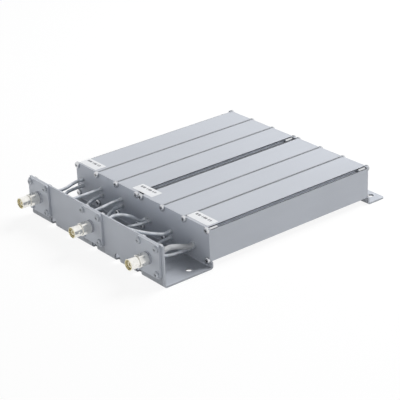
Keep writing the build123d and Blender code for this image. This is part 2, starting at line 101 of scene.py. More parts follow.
class NodeBench:
    """Adds nodes to one tree and joins them."""

    def __init__(self, tree: bpy.types.NodeTree) -> None:
        """Keeps the tree that the nodes go into."""
        self.tree = tree

    def add(self, kind: str, inputs: dict | None = None, **settings: object) -> bpy.types.Node:
        """Adds one node.

        Args:
            kind: Blender's name for the type of node.
            inputs: Values or sockets for its inputs, by name or number.
            settings: The node's own options.

        Returns:
            The new node.
        """
        node = self.tree.nodes.new(kind)
        for name, value in settings.items():
            setattr(node, name, value)
        for name, value in (inputs or {}).items():
            if isinstance(value, bpy.types.NodeSocket):
                self.tree.links.new(value, node.inputs[name])
            else:
                node.inputs[name].default_value = value
        return node

    def place(self) -> bpy.types.NodeSocket:
        """Returns the object coordinates."""
        return self.add("ShaderNodeTexCoord").outputs["Object"]

    def chart(self) -> bpy.types.NodeSocket:
        """Returns the coordinates of the piece's own map."""
        return self.add("ShaderNodeUVMap").outputs[0]

    def split(self, vector: bpy.types.NodeSocket) -> tuple[bpy.types.NodeSocket, ...]:
        """Returns a vector's X, Y and Z."""
        return tuple(self.add("ShaderNodeSeparateXYZ", {0: vector}).outputs)

    def math(self, operation: str, *values: object) -> bpy.types.NodeSocket:
        """Does one sum on values or sockets and returns its result."""
        return self.add("ShaderNodeMath", dict(enumerate(values)), operation=operation).outputs[0]

    def product(self, *values: object) -> bpy.types.NodeSocket:
        """Multiplies values or sockets and returns the result."""
        return reduce(lambda first, second: self.math("MULTIPLY", first, second), values)

    def apart(self, value: bpy.types.NodeSocket, place: float) -> bpy.types.NodeSocket:
        """Returns how far a value is from a place, to either side."""
        return self.math("ABSOLUTE", self.math("SUBTRACT", value, place))

    def within(self, value: bpy.types.NodeSocket, low: float, high: float) -> bpy.types.NodeSocket:
        """Returns 1 where a value lies between low and high, and 0 elsewhere."""
        return self.product(self.math("GREATER_THAN", value, low), self.math("LESS_THAN", value, high))

    def near_any(self, value: bpy.types.NodeSocket, places: tuple[float, ...], reach: float
                 ) -> bpy.types.NodeSocket:
        """Finds where a value is close to one of several places.

        Args:
            value: The value.
            places: The places.
            reach: How close it has to be.

        Returns:
            A mask, 1 near a place.
        """
        masks = [self.math("LESS_THAN", self.apart(value, place), reach) for place in places]
        return reduce(lambda first, second: self.math("MAXIMUM", first, second), masks)

    def spread(self, value: bpy.types.NodeSocket, low: float, high: float, to_low: float, to_high: float
               ) -> bpy.types.NodeSocket:
        """Maps the range low to high of a value onto to_low to to_high and returns the result."""
        inputs = {"Value": value, "From Min": low, "From Max": high, "To Min": to_low, "To Max": to_high}
        return self.add("ShaderNodeMapRange", inputs).outputs[0]

    def vary(self, noise: bpy.types.NodeSocket, low: float, high: float, half: float = 0.2
             ) -> bpy.types.NodeSocket:
        """Maps the middle of a noise's range, which it seldom leaves, onto low to high.

        Args:
            noise: The noise.
            low: The result at the lower end.
            high: The result at the upper end.
            half: Half the width of that middle.

        Returns:
            The result.
        """
        return self.spread(noise, 0.5 - half, 0.5 + half, low, high)

    def noise(self, vector: bpy.types.NodeSocket, scale: object, detail: float = 2.0) -> bpy.types.NodeSocket:
        """Adds noise over a vector and returns its value."""
        inputs = {"Vector": vector, "Scale": scale, "Detail": detail}
        return self.add("ShaderNodeTexNoise", inputs).outputs[0]

    def blend(self, factor: object, first: object, second: object) -> bpy.types.NodeSocket:
        """Mixes two colours by a factor and returns the colour."""
        return self.add("ShaderNodeMix", {0: factor, 6: first, 7: second}, data_type="RGBA").outputs[2]

    def bump(self, strength: float, distance: float, height: bpy.types.NodeSocket,
             **normal: bpy.types.NodeSocket) -> bpy.types.NodeSocket:
        """Raises a surface by a height.

        Args:
            strength: How strongly it shows.
            distance: The height of one unit, in metres.
            height: The height.
            normal: The normal to start from, as Normal, where it isn't the surface's own.

        Returns:
            The new normal.
        """
        inputs = {"Strength": strength, "Distance": distance, "Height": height, **normal}
        return self.add("ShaderNodeBump", inputs).outputs[0]


class Effect:
    """A shader node group that several materials share."""

    def __init__(self, name: str, inputs: dict[str, float], outputs: tuple[str, ...]) -> None:
        """Makes the group and its sockets.

        Args:
            name: The group's name.
            inputs: Its value inputs with their defaults, where "Vector" is a vector.
            outputs: Its outputs, where "Normal" is a vector.
        """
        self.tree = bpy.data.node_groups.new(name, "ShaderNodeTree")
        self.bench = NodeBench(self.tree)
        for label, value in inputs.items():
            kind = "NodeSocketVector" if label == "Vector" else "NodeSocketFloat"
            socket = self.tree.interface.new_socket(name=label, in_out="INPUT", socket_type=kind)
            if kind == "NodeSocketFloat":
                socket.default_value = value
        for label in outputs:
            kind = "NodeSocketVector" if label == "Normal" else "NodeSocketFloat"
            self.tree.interface.new_socket(name=label, in_out="OUTPUT", socket_type=kind)
        self.source = self.bench.add("NodeGroupInput").outputs
        self.sink = self.bench.add("NodeGroupOutput").inputs

    def give(self, **sockets: bpy.types.NodeSocket) -> None:
        """Joins sockets to the group's outputs."""
        for label, socket in sockets.items():
            self.tree.links.new(socket, self.sink[label])

    def place(self, bench: NodeBench, inputs: dict) -> bpy.types.NodeOutputs:
        """Puts the group into a material.

        Args:
            bench: The material's bench.
            inputs: The group's values or sockets there.

        Returns:
            The group's outputs.
        """
        return bench.add("ShaderNodeGroup", inputs, node_tree=self.tree).outputs


def edge_rounding(worn_turn: tuple[float, float] = (0.99, 0.80),
                  patch_range: tuple[float, float] = (0.42, 0.62)) -> Effect:
    """Makes the effect that rounds sharp edges and finds where they wear.

    Args:
        worn_turn: How far the rounded normal agrees with the flat one where wear starts and is full.
        patch_range: The range of the noise over which the worn patches start.

    Returns:
        The effect.
    """
    effect = Effect("edge_rounding", {"Radius": 0.0003, "Patch Scale": 300.0}, ("Normal", "Wear"))
    bench = effect.bench
    rounded = bench.add("ShaderNodeBevel", {"Radius": effect.source["Radius"]}, samples=6).outputs[0]
    flat = bench.add("ShaderNodeNewGeometry").outputs["Normal"]
    turn = bench.add("ShaderNodeVectorMath", {0: rounded, 1: flat}, operation="DOT_PRODUCT").outputs["Value"]
    edge = bench.spread(turn, *worn_turn, 0.0, 1.0)
    patches = bench.noise(bench.place(), effect.source["Patch Scale"], FINE_DETAIL)
    effect.give(Normal=rounded, Wear=bench.product(edge, bench.spread(patches, *patch_range, 0.0, 1.0)))
    return effect


def sprayed_skin() -> Effect:
    """Makes the effect of sprayed paint: a fine grain and slow clouds of tone."""
    effect = Effect("sprayed_skin", {"Grain Scale": 2600.0, "Cloud Scale": 22.0}, ("Grain", "Cloud"))
    bench = effect.bench
    place = bench.place()
    grain = bench.noise(place, effect.source["Grain Scale"], FINE_DETAIL)
    effect.give(Grain=grain, Cloud=bench.vary(bench.noise(place, effect.source["Cloud Scale"]), 0.0, 1.0))
    return effect


def worked_lines(band_scale: float = 0.08) -> Effect:
    """Makes the effect of the fine lines that turning or drawing leaves along a stretched vector.

    Args:
        band_scale: The fineness of the bands of tone, as a share of the lines' own.

    Returns:
        The effect.
    """
    effect = Effect("worked_lines", {"Vector": 0.0, "Fineness": 4000.0}, ("Line", "Band"))
    bench = effect.bench
    vector, fineness = effect.source["Vector"], effect.source["Fineness"]
    band = bench.noise(vector, bench.product(fineness, band_scale), COARSE_DETAIL)
    effect.give(Line=bench.noise(vector, fineness), Band=band)
    return effect


def painted_corner_shade(full_depth: float = 0.30, thinnest: float = 0.7) -> Effect:
    """Makes the effect of painted shade in recesses, grooves and corners: the less open a place, the darker.

    Args:
        full_depth: How open a place is where the painted shade is full.
        thinnest: How much of it the thinnest patches hold.

    Returns:
        The effect.
    """
    effect = Effect("painted_corner_shade", {"Reach": 0.002, "Patch Scale": 420.0, "Onset": 0.80}, ("Grime",))
    bench = effect.bench
    reach = {"Distance": effect.source["Reach"]}
    # Painted shade, darkest where the surface is least open.
    opened = bench.add("ShaderNodeAmbientOcclusion", reach, samples=8).outputs["AO"]
    depth = bench.spread(opened, effect.source["Onset"], full_depth, 0.0, 1.0)
    patches = bench.vary(bench.noise(bench.place(), effect.source["Patch Scale"]), thinnest, 1.0)
    effect.give(Grime=bench.product(depth, patches))
    return effect


def woven_braid(gap_range: tuple[float, float] = (0.75, 0.35)) -> Effect:
    """Makes the effect of crossing strands along a piece's own map, in turns along and strands round.

    Args:
        gap_range: The heights between which the gaps between the strands start and are full.

    Returns:
        The effect.
    """
    effect = Effect("woven_braid", {"Turns": 900.0, "Strands": 8.0}, ("Height", "Gap"))
    bench = effect.bench
    around, along, _ = bench.split(bench.chart())
    across = bench.product(around, effect.source["Strands"])
    length = bench.product(along, effect.source["Turns"])
    waves = []
    for operation in ("ADD", "SUBTRACT"):
        phase = bench.product(bench.math(operation, across, length), math.pi)
        waves.append(bench.math("ABSOLUTE", bench.math("SINE", phase)))
    height = bench.math("MAXIMUM", *waves)
    effect.give(Height=height, Gap=bench.spread(height, *gap_range, 0.0, 1.0))
    return effect


@dataclass(frozen=True)
class Workshop:
    """The shared effects, each built once."""

    edges: Effect = field(default_factory=edge_rounding)
    skin: Effect = field(default_factory=sprayed_skin)
    lines: Effect = field(default_factory=worked_lines)
    # The painted shade in hollows and corners.
    corner_shade: Effect = field(default_factory=painted_corner_shade)
    braid: Effect = field(default_factory=woven_braid)


def new_material(name: str) -> tuple[bpy.types.Material, NodeBench, bpy.types.Node]:
    """Makes an empty material.

    Args:
        name: The material's name.

    Returns:
        The material, the bench of its tree and its output node.
    """
    material = bpy.data.materials.new(name)
    material.use_nodes = True
    material.node_tree.nodes.clear()
    bench = NodeBench(material.node_tree)
    return material, bench, bench.add("ShaderNodeOutputMaterial")


@dataclass(frozen=True)
class BlockShade:
    """Painted shade along the blocks' grooves and in their screw slots, the same in both blocks."""

    top: float
    middle: float
    half_width: float
    half_pitch: float
    groove_reach: tuple[float, float] = (0.0010, 0.0022)
    groove_share: float = 0.33
    slot_inset: tuple[float, float] = (0.00365, 0.00005)
    slot_depth: tuple[float, float] = (0.0003, 0.0026)

    @classmethod
    def from_frame(cls) -> BlockShade:
        """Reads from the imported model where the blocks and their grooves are."""
        low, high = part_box("cavity_block_right")
        pitch = middle_of("resonator_2").x - middle_of("resonator_1").x
        return cls(high.z, (low.x + high.x) / 2, (high.x - low.x) / 2, pitch / 2)

    def painted_shade(self, bench: NodeBench, place: bpy.types.NodeSocket) -> bpy.types.NodeSocket:
        """Finds where shade is painted: in bands beside the grooves and down in the screw slots.

        Args:
            bench: The material's bench.
            place: The object coordinates.

        Returns:
            How much darker the paint is there.
        """
        x, _, z = bench.split(place)
        aside = bench.apart(bench.math("ABSOLUTE", x), self.middle)
        # Painted shade in bands beside each groove.
        groove = bench.spread(bench.apart(aside, self.half_pitch), *self.groove_reach, self.groove_share, 0.0)
        # Painted shade down in the screw slots.
        inner, outer = (self.half_width - inset for inset in self.slot_inset)
        depth = bench.math("SUBTRACT", self.top, z)
        slot = bench.product(bench.within(aside, inner, outer), bench.within(depth, *self.slot_depth))
        return bench.math("MAXIMUM", groove, slot)


@dataclass(frozen=True)
class FrontShade:
    """Painted shade in the notches of the front bracket's fold and a painted shadow in the strips under the
    jack plates.
    """

    front: float
    notch_places: tuple[float, ...]
    plate_places: tuple[float, ...]
    plate_half: float
    plate_foot: float
    notch_half: float = 0.0039
    notch_height: float = 0.0075
    notch_fade: tuple[float, float] = (0.0055, 0.011)
    notch_share: float = 0.64
    face_depth: float = 0.0001
    strip_depth: float = 0.0022
    strip_margin: float = 0.0004
    strip_gap: float = 0.0002
    strip_share: float = 0.43

    @classmethod
    def from_frame(cls) -> FrontShade:
        """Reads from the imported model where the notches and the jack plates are."""
        block = BlockShade.from_frame()
        notches = (0.0, block.middle - block.half_pitch, block.middle + block.half_pitch)
        plates = tuple(middle_of(f"jack_plate_{side}").x for side in SIDES)
        low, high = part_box("jack_plate_left")
        return cls(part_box("front_bracket")[0].y, notches, plates, (high.x - low.x) / 2, low.z)

    def painted_shade(self, bench: NodeBench, place: bpy.types.NodeSocket) -> bpy.types.NodeSocket:
        """Finds the notches with the sheet just behind them, where shade is painted, and the strips under the
        jack plates, where a shadow is painted.

        Args:
            bench: The material's bench.
            place: The object coordinates.

        Returns:
            How much darker the paint is there.
        """
        x, y, z = bench.split(place)
        deep = bench.math("SUBTRACT", y, self.front)
        # Painted shade in the notches and on the sheet just behind them.
        fade = bench.spread(deep, *self.notch_fade, self.notch_share, 0.0)
        notch = bench.product(
            bench.near_any(bench.math("ABSOLUTE", x), self.notch_places, self.notch_half), fade,
            bench.math("GREATER_THAN", deep, self.face_depth), bench.math("LESS_THAN", z, self.notch_height))
        # Painted shadow in the strips under the jack plates.
        strip = bench.product(
            bench.near_any(x, self.plate_places, self.plate_half + self.strip_margin), self.strip_share,
            bench.math("LESS_THAN", deep, self.strip_depth),
            bench.math("LESS_THAN", z, self.plate_foot - self.strip_gap))
        return bench.math("MAXIMUM", notch, strip)


@dataclass(frozen=True)
class Finish:
    """A finish with its material's name, its colour and its roughness."""

    name: str
    colour: Colour
    roughness: float

    def build(self, shop: Workshop) -> bpy.types.Material:
        """Builds the material.

        Args:
            shop: The shared effects.

        Returns:
            The finished material.
        """
        material, bench, output = new_material(self.name)
        shader = bench.add("ShaderNodeBsdfPrincipled", self.surface(bench, shop))
        bench.tree.links.new(shader.outputs[0], output.inputs["Surface"])
        return material

    def surface(self, bench: NodeBench, shop: Workshop) -> dict[str, object]:
        """Lays out the nodes before the shader.

        Args:
            bench: The material's bench.
            shop: The shared effects.

        Returns:
            The shader's inputs.
        """
        raise NotImplementedError

    def clouded(self, bench: NodeBench, cloud: bpy.types.NodeSocket, tones: tuple[float, float]
                ) -> bpy.types.NodeSocket:
        """Returns the colour, drifting between two gains in slow clouds."""
        return bench.blend(cloud, *(rgba(self.colour, tone) for tone in tones))

    def grained(self, bench: NodeBench, grain: bpy.types.NodeSocket, change: float) -> bpy.types.NodeSocket:
        """Returns the roughness, varied with the grain by a change to either side."""
        return bench.vary(grain, self.roughness - change, self.roughness + change)

    def lined(self, bench: NodeBench, shop: Workshop, place: bpy.types.NodeSocket, lay: Lay, fineness: float
              ) -> bpy.types.NodeOutputs:
        """Lays fine lines along the way that the surface was worked.

        Args:
            bench: The material's bench.
            shop: The shared effects.
            place: The object coordinates.
            lay: How the surface was worked.
            fineness: How fine the lines are.

        Returns:
            The outputs of the lines' effect.
        """
        stretched = bench.add("ShaderNodeMapping", {"Vector": place, "Scale": lay.value}).outputs[0]
        return shop.lines.place(bench, {"Vector": stretched, "Fineness": fineness})


@dataclass(frozen=True)
class Paint(Finish):
    """Satin paint on sheet or extrusion, a little brighter where an edge wears, with painted shade in
    hollows, corners and placed bands.
    """

    roughness: float = 0.40
    rough_change: float = 0.06
    lay: Lay = Lay.CAST
    line_fineness: float = 700.0
    line_tone: float = 0.94
    line_share: float = 0.35
    cloud_tones: tuple[float, float] = (0.975, 1.025)
    edge_radius: float = 0.0003
    wear_share: float = 0.45
    wear_tone: float = 1.30
    grain_strength: float = 0.5
    grain_depth: float = 0.000012
    # Painted shade in hollows: its reach, its share and its tone.
    shade_reach: float = 0.0025
    shade_share: float = 0.20
    shade_tone: float = 0.12
    refraction: float = 1.5
    # Placed bands of painted shade, if any.
    placed_shade: BlockShade | FrontShade | None = None

    def surface(self, bench: NodeBench, shop: Workshop) -> dict[str, object]:
        """Lays out the nodes before the shader and returns the shader's inputs."""
        edges = shop.edges.place(bench, {"Radius": self.edge_radius, "Patch Scale": 260.0})
        skin = shop.skin.place(bench, {"Grain Scale": 2400.0, "Cloud Scale": 18.0})
        place = bench.place()
        band = self.lined(bench, shop, place, self.lay, self.line_fineness)["Band"]
        tone = self.clouded(bench, skin["Cloud"], self.cloud_tones)
        lined = bench.vary(band, 0.0, self.line_share, BAND_HALF)
        tone = bench.blend(lined, tone, rgba(self.colour, self.line_tone))
        # Painted shade: darker paint in hollows and corners and in the placed bands of shade.
        painted_shade = bench.product(shop.corner_shade.place(bench, {"Reach": self.shade_reach})["Grime"], self.shade_share)
        if self.placed_shade is not None:
            painted_shade = bench.math("MAXIMUM", painted_shade, self.placed_shade.painted_shade(bench, place))
        tone = bench.blend(painted_shade, tone, rgba(self.colour, self.shade_tone))
        worn = bench.product(edges["Wear"], self.wear_share)
        tone = bench.blend(worn, tone, rgba(self.colour, self.wear_tone))
        rough = self.grained(bench, skin["Grain"], self.rough_change)
        normal = bench.bump(self.grain_strength, self.grain_depth, skin["Grain"], Normal=edges["Normal"])
        return {"Base Color": tone, "Roughness": bench.math("MAXIMUM", rough, painted_shade), "Normal": normal,
                "IOR": self.refraction}


@dataclass(frozen=True)
class Metal(Finish):
    """Bare or plated metal with the fine lines of its making, a few dull patches and painted shade in
    recesses.
    """

    rough_shares: tuple[float, float] = (0.75, 1.3)
    lay: Lay = Lay.TURNED
    fineness: float = 5000.0
    line_strength: float = 0.6
    line_depth: float = 0.000006
    dull: float = 0.80
    edge_radius: float = 0.00015
    wear_share: float = 0.5
    wear_tone: float = 1.2
    metallic: float = 1.0
    # Painted shade in recesses: its reach, share, onset and tone.
    shade_reach: float = 0.0010
    shade_share: float = 0.30
    shade_onset: float = 0.80
    shade_tone: float = 0.12

    def surface(self, bench: NodeBench, shop: Workshop) -> dict[str, object]:
        """Lays out the nodes before the shader and returns the shader's inputs."""
        edges = shop.edges.place(bench, {"Radius": self.edge_radius, "Patch Scale": 700.0})
        skin = shop.skin.place(bench, {"Grain Scale": 1800.0, "Cloud Scale": 160.0})
        place = bench.place()
        lines = self.lined(bench, shop, place, self.lay, self.fineness)
        tone = self.clouded(bench, skin["Cloud"], (self.dull, 1.0))
        rough = bench.vary(lines["Band"], *(self.roughness * share for share in self.rough_shares), BAND_HALF)
        tone, rough, metallic = self.vary_along(bench, place, tone, rough)
        # Painted shade: the metal darkens in recesses and corners.
        corner_shade = shop.corner_shade.place(bench, {"Reach": self.shade_reach, "Onset": self.shade_onset})["Grime"]
        tone = bench.blend(bench.product(corner_shade, self.shade_share), tone, rgba(self.colour, self.shade_tone))
        worn = bench.product(edges["Wear"], self.wear_share)
        tone = bench.blend(worn, tone, rgba(self.colour, self.wear_tone))
        normal = bench.bump(self.line_strength, self.line_depth, lines["Line"], Normal=edges["Normal"])
        return {"Base Color": tone, "Metallic": metallic, "Roughness": rough, "Normal": normal}

    def vary_along(self, bench: NodeBench, place: bpy.types.NodeSocket, tone: bpy.types.NodeSocket,
                   rough: bpy.types.NodeSocket) -> tuple[bpy.types.NodeSocket, bpy.types.NodeSocket, object]:
        """Changes the metal where a piece has parts of another finish, which plain metal hasn't.

        Args:
            bench: The material's bench.
            place: The object coordinates.
            tone: The colour.
            rough: The roughness.

        Returns:
            The colour, the roughness and how metallic it is.
        """
        return tone, rough, self.metallic


@dataclass(frozen=True)
class JackMetal(Metal):
    """The plating of a jack, round an axis along Y: brassy in the bore, with painted light keeping the deep
    bore pale, and dull at the root.
    """

    mouth: Point = ORIGIN
    bore_radius: float = 0.00470
    bore_reach: float = 0.0076
    bore_brass_and_light_colour: Colour = (0.95, 0.89, 0.66)
    bore_roughness: float = 0.45
    root_reach: float = 0.0168
    root_colour: Colour = (0.58, 0.60, 0.64)
    dull_metallic: float = 0.45

    def vary_along(self, bench: NodeBench, place: bpy.types.NodeSocket, tone: bpy.types.NodeSocket,
                   rough: bpy.types.NodeSocket) -> tuple[bpy.types.NodeSocket, bpy.types.NodeSocket, object]:
        """Gives the bore with its lip, brassy with painted light, and the root their own finish, and returns
        as Metal does.
        """
        x, y, z = bench.split(place)
        across = bench.math("SUBTRACT", x, self.mouth[0])
        height = bench.math("SUBTRACT", z, self.mouth[2])
        square = bench.math("ADD", bench.product(across, across), bench.product(height, height))
        core = bench.math("LESS_THAN", bench.math("SQRT", square), self.bore_radius)
        bore = bench.product(core, bench.math("LESS_THAN", y, self.mouth[1] + self.bore_reach))
        root = bench.math("GREATER_THAN", y, self.mouth[1] + self.root_reach)
        # The bore's pale brass tone carries painted light into the deep bore.
        tone = bench.blend(root, bench.blend(bore, tone, rgba(self.bore_brass_and_light_colour)), rgba(self.root_colour))
        rough = bench.math("MAXIMUM", rough, bench.product(bore, self.bore_roughness))
        dulled = bench.math("MAXIMUM", bore, root)
        return tone, rough, bench.spread(dulled, 0.0, 1.0, self.metallic, self.dull_metallic)


@dataclass(frozen=True)
class Plastic(Finish):
    """Moulded or shrunk plastic with a faint orange peel."""

    rough_change: float = 0.08
    cloud_tones: tuple[float, float] = (0.93, 1.05)
    grain_scale: float = 1500.0
    grain_strength: float = 0.4
    grain_depth: float = 0.00002

    def surface(self, bench: NodeBench, shop: Workshop) -> dict[str, object]:
        """Lays out the nodes before the shader and returns the shader's inputs."""
        skin = shop.skin.place(bench, {"Grain Scale": self.grain_scale, "Cloud Scale": 90.0})
        rough = self.grained(bench, skin["Grain"], self.rough_change)
        return {
            "Base Color": self.clouded(bench, skin["Cloud"], self.cloud_tones), "Roughness": rough,
            "Normal": bench.bump(self.grain_strength, self.grain_depth, skin["Grain"])}


@dataclass(frozen=True)
class SoakedBraid(Finish):
    """Copper braid soaked in tin: crossing strands with their gaps half filled."""

    gap_colour: Colour = (0.22, 0.22, 0.23)
    gap_share: float = 0.40
    rough_changes: tuple[float, float] = (-0.06, 0.10)
    cloud_tones: tuple[float, float] = (0.88, 1.06)
    metallic: float = 0.90
    turns: float = 620.0
    strands: float = 6.0
    relief_strength: float = 0.7
    relief: float = 0.00008

    def surface(self, bench: NodeBench, shop: Workshop) -> dict[str, object]:
        """Lays out the nodes before the shader and returns the shader's inputs."""
        braid = shop.braid.place(bench, {"Turns": self.turns, "Strands": self.strands})
        skin = shop.skin.place(bench, {"Grain Scale": 2200.0, "Cloud Scale": 130.0})
        tone = self.clouded(bench, skin["Cloud"], self.cloud_tones)
        tone = bench.blend(bench.product(braid["Gap"], self.gap_share), tone, rgba(self.gap_colour))
        rough = bench.vary(skin["Grain"], *(self.roughness + change for change in self.rough_changes))
        normal = bench.bump(self.relief_strength, self.relief, braid["Height"])
        return {"Base Color": tone, "Metallic": self.metallic, "Roughness": rough, "Normal": normal}


@dataclass(frozen=True)
class LabelStock(Finish):
    """White film with one line of plain dark marks, laid out on the label's own map."""

    colour: Colour = (0.92, 0.93, 0.95)
    roughness: float = 0.47
    rough_change: float = 0.05
    cloud_tones: tuple[float, float] = (0.97, 1.0)
    ink: Colour = (0.16, 0.165, 0.18)
    marks: float = 62.0
    blank_share: float = 0.38
    line_height: tuple[float, float] = (0.56, 0.78)
    line_span: tuple[float, float] = (0.10, 0.86)

    def surface(self, bench: NodeBench, shop: Workshop) -> dict[str, object]:
        """Lays out the nodes before the shader and returns the shader's inputs."""
        across, up, _ = bench.split(bench.chart())
        step = bench.math("FLOOR", bench.product(across, self.marks))
        chance = bench.add("ShaderNodeTexWhiteNoise", {"W": step}, noise_dimensions="1D").outputs["Value"]
        inked = bench.product(
            bench.math("GREATER_THAN", chance, self.blank_share),
            bench.within(up, *self.line_height), bench.within(across, *self.line_span))
        skin = shop.skin.place(bench, {"Grain Scale": 1500.0, "Cloud Scale": 120.0})
        film = self.clouded(bench, skin["Cloud"], self.cloud_tones)
        rough = self.grained(bench, skin["Grain"], self.rough_change)
        return {"Base Color": bench.blend(inked, film, rgba(self.ink)), "Roughness": rough}


def dress(nodes: list[str], material: bpy.types.Material) -> None:
    """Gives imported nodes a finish.

    Args:
        nodes: The names of the nodes.
        material: Their finish.
    """
    for name in nodes:
        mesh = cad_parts[name].data
        mesh.materials.clear()
        mesh.materials.append(material)
    LOG.info("%s: %d nodes", material.name, len(nodes))


def add_piece(name: str, mesh: bpy.types.Mesh, material: bpy.types.Material) -> bpy.types.Object:
    """Puts a new piece into the scene and lets it ride on the one body.

    Args:
        name: The piece's name.
        mesh: Its mesh, in place.
        material: Its finish.

    Returns:
        The piece.
    """
    piece = bpy.data.objects.new(name, mesh)
    bpy.context.scene.collection.objects.link(piece)
    mesh.materials.clear()
    mesh.materials.append(material)
    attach(piece, ROOT)
    LOG.info("%s: %d faces", name, len(mesh.polygons))
    return piece


@dataclass
class Cabinet:
    """The cavity blocks and the two folded brackets, with the labels on top."""

    label_lengths: tuple[float, ...] = (0.0244, 0.0265, 0.0265)
    label_width: float = 0.0116
    label_thickness: float = 0.00012
    label_round: float = 0.0007
    round_steps: int = 5
    label_places: tuple[tuple[float, float], ...] = (
        (-0.0772, -0.0797), (-0.0002, -0.0784), (0.0735, -0.0788))
    label_turns: tuple[float, ...] = (0.0, 0.4, -0.5)

    def finish(self, shop: Workshop) -> None:
        """Dresses the nodes and adds the labels."""
        painted_shade = BlockShade.from_frame()
        extrusion = Paint("painted_extrusion", SATIN_GREY, lay=Lay.DRAWN, placed_shade=painted_shade)
        dress(["cavity_block_left", "cavity_block_right"], extrusion.build(shop))
        # The brackets take wide painted shade, which darkens the front wall deep in the bay.
        folded = Paint(
            "painted_sheet", SATIN_GREY, shade_reach=0.024, shade_share=0.55, placed_shade=FrontShade.from_frame())
        dress(["front_bracket", "rear_bracket"], folded.build(shop))
        stock = LabelStock("label_film").build(shop)
        for side, length, place, turn in zip(SIDES, self.label_lengths, self.label_places, self.label_turns):
            mesh = self.label(side, length, Vector((*place, painted_shade.top)), math.radians(turn))
            add_piece(f"label_{side}", mesh, stock)

    def label(self, side: str, length: float, place: Vector, turn: float) -> bpy.types.Mesh:
        """Makes one label with rounded corners.

        Args:
            side: Which label it is.
            length: How long it is.
            place: The middle of its underside.
            turn: How far it is turned on the roof, in radians.

        Returns:
            Its mesh, with a map from corner to corner.
        """
        build = bmesh.new()
        bmesh.ops.create_grid(build, x_segments=1, y_segments=1, size=0.5)
        bmesh.ops.scale(build, vec=(length, self.label_width, 1.0), verts=build.verts)
        bmesh.ops.bevel(build, geom=list(build.verts), offset=self.label_round, segments=self.round_steps,
                        profile=0.5, affect="VERTICES", material=-1)
        edge = bmesh.ops.extrude_face_region(build, geom=list(build.faces))
        raised = [part for part in edge["geom"] if isinstance(part, bmesh.types.BMVert)]
        bmesh.ops.translate(build, vec=(0.0, 0.0, self.label_thickness), verts=raised)
        bmesh.ops.recalc_face_normals(build, faces=build.faces)
        chart = build.loops.layers.uv.new("UVMap")
        for face in build.faces:
            for loop in face.loops:
                x, y, _ = loop.vert.co
                loop[chart].uv = (x / length + 0.5, y / self.label_width + 0.5)
        bmesh.ops.rotate(build, cent=ORIGIN, matrix=Matrix.Rotation(turn, 3, "Z"), verts=build.verts)
        bmesh.ops.translate(build, vec=place, verts=build.verts)
        mesh = bpy.data.meshes.new(f"label_{side}")
        build.to_mesh(mesh)
        build.free()
        return mesh


@dataclass
class Fixings:
    """Screws and nuts of every kind."""

    zinc: Colour = (0.72, 0.73, 0.75)
    plate_zinc: Colour = (0.60, 0.63, 0.68)

    def finish(self, shop: Workshop) -> None:
        """Dresses the screws and nuts, with painted shade deep in the screws' recesses."""
        bright = Metal(
            "zinc_plating", self.zinc, roughness=0.22, shade_reach=0.0018, shade_share=0.97, shade_onset=0.74)
        dress(["front_wall_screws", "rear_wall_screws", "plate_nuts", "resonator_nuts", "tuning_nuts"],
              bright.build(shop))
        dull = Metal(
            "dull_zinc_plating", self.plate_zinc, roughness=0.45, metallic=0.1, shade_reach=0.0016,
            shade_share=0.95, shade_onset=0.48)
        dress(["plate_screws"], dull.build(shop))


@dataclass
class JackRow:
    """Three bayonet jacks, each on its square plate."""

    nickel: Colour = (0.94, 0.93, 0.89)
    gold: Colour = (0.80, 0.62, 0.28)
    cream: Colour = (0.92, 0.87, 0.68)

    def finish(self, shop: Workshop) -> None:
        """Dresses each jack's pieces."""
        finishes = {
            "plate": Paint("painted_plate", SATIN_GREY, shade_reach=0.0012, shade_share=0.08),
            "nut": Metal("nickel_nut", self.nickel, roughness=0.24),
            "insulator": Plastic("cream_insulator", self.cream, roughness=0.40),
            "contact": Metal("gold_contact", self.gold, roughness=0.22)}
        for kind, finish in finishes.items():
            dress([f"jack_{kind}_{side}" for side in SIDES], finish.build(shop))
        for side in SIDES:
            axis = middle_of(f"jack_contact_{side}")
            mouth = (axis.x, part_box(f"jack_shell_{side}")[0].y, axis.z)
            shell = JackMetal(f"bright_nickel_{side}", self.nickel, roughness=0.20, mouth=mouth)
            dress([f"jack_shell_{side}"], shell.build(shop))


@dataclass
class CellWorks:
    """What stands inside the cells: resonators, tuning rods and coupling probes."""

    silver: Colour = (0.80, 0.78, 0.70)
    brass: Colour = (0.72, 0.55, 0.26)

    def finish(self, shop: Workshop) -> None:
        """Dresses the inner pieces."""
        silvered = Metal("dull_silver", self.silver, roughness=0.36)
        dress([f"resonator_{cell}" for cell in CELLS], silvered.build(shop))
        inner = [f"{kind}_{cell}" for kind in ("tuning_rod", "coupling_probe") for cell in CELLS]
        dress(inner, Metal("bare_brass", self.brass, roughness=0.32).build(shop))


